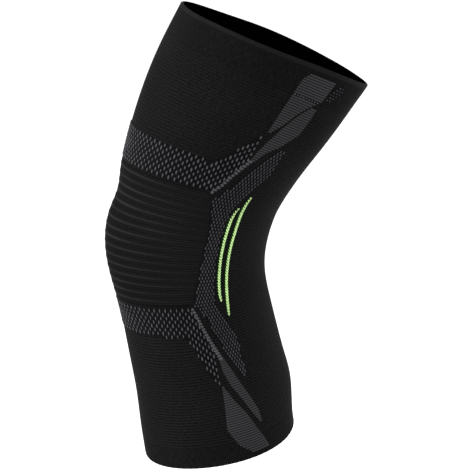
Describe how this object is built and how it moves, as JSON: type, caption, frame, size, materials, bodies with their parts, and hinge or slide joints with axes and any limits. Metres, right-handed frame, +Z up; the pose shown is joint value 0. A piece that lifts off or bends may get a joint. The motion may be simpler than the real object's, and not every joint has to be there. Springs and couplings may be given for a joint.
{
  "type": "knee sleeve",
  "caption": "Elastic knitted knee sleeve held in its worn, slightly bent form, with a ribbed kneecap panel, dotted bands, grey side wedges and lime side stripes.",
  "frame": {"origin": "in the hollow, on the leg's axis at the level of the kneecap, where the leg that fills the sleeve would hold it", "axes": "+Z up toward the thigh opening, -Y toward the kneecap, +X toward the wearer's left; X = 0 is the mirror plane"},
  "size_m": [0.1356, 0.1794, 0.3214],
  "materials": {
    "black_knit": "fine black elastic pique knit, matte",
    "cuff_knit": "black turned welt with fine upright wales, matte",
    "ribbed_knit": "black knit with raised level ribs, matte",
    "dotted_knit": "black knit with raised grey dots, matte",
    "grey_knit": "dark grey knit with fine rows, matte",
    "mesh_knit": "black and grey fine diamond mesh knit, matte",
    "lime_yarn": "pale lime thick yarn, slightly shiny"
  },
  "bodies": {
    "root": {"sleeve_body": "black_knit", "thigh_cuff": "cuff_knit", "calf_cuff": "cuff_knit", "kneecap_panel": "ribbed_knit", "upper_dot_band": "dotted_knit", "lower_dot_band": "dotted_knit", "side_mesh_left": "mesh_knit", "side_mesh_right": "mesh_knit", "upper_front_wedge_left": "grey_knit", "upper_front_wedge_right": "grey_knit", "upper_rear_wedge_left": "grey_knit", "upper_rear_wedge_right": "grey_knit", "lower_rear_wedge_left": "grey_knit", "lower_rear_wedge_right": "grey_knit", "lower_front_wedge_left": "grey_knit", "lower_front_wedge_right": "grey_knit", "stripe_front_left": "lime_yarn", "stripe_front_right": "lime_yarn", "stripe_rear_left": "lime_yarn", "stripe_rear_right": "lime_yarn"}
  },
  "joints": []
}
